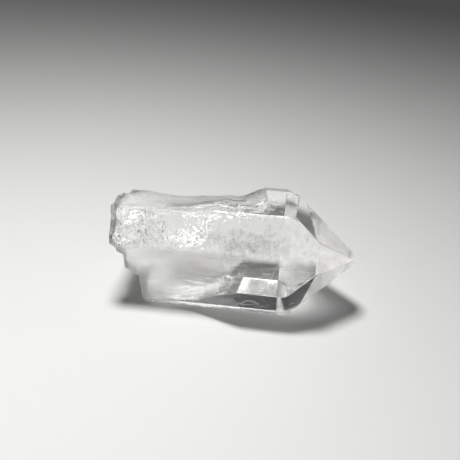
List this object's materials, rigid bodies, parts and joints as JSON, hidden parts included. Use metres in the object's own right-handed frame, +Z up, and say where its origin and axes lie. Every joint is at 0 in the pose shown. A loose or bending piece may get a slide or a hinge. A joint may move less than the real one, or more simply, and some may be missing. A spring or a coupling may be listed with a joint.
{
  "type": "quartz crystal",
  "caption": "Clear natural quartz point lying on a prism face: flat prism and pyramid faces at the tip, broken shoulder and stepped broken root.",
  "frame": {"origin": "under the middle of the crystal, on the surface that it lies on", "axes": "+X along the crystal's long axis towards the tip, -Y towards the large front face, +Z up"},
  "size_m": [0.0493, 0.0247, 0.0218],
  "materials": {
    "clear_quartz": "clear rock crystal with natural polished faces, worn edges, shell-shaped breaks and white inner cracks"
  },
  "bodies": {
    "root": {"quartz_crystal": "clear_quartz"}
  },
  "joints": []
}
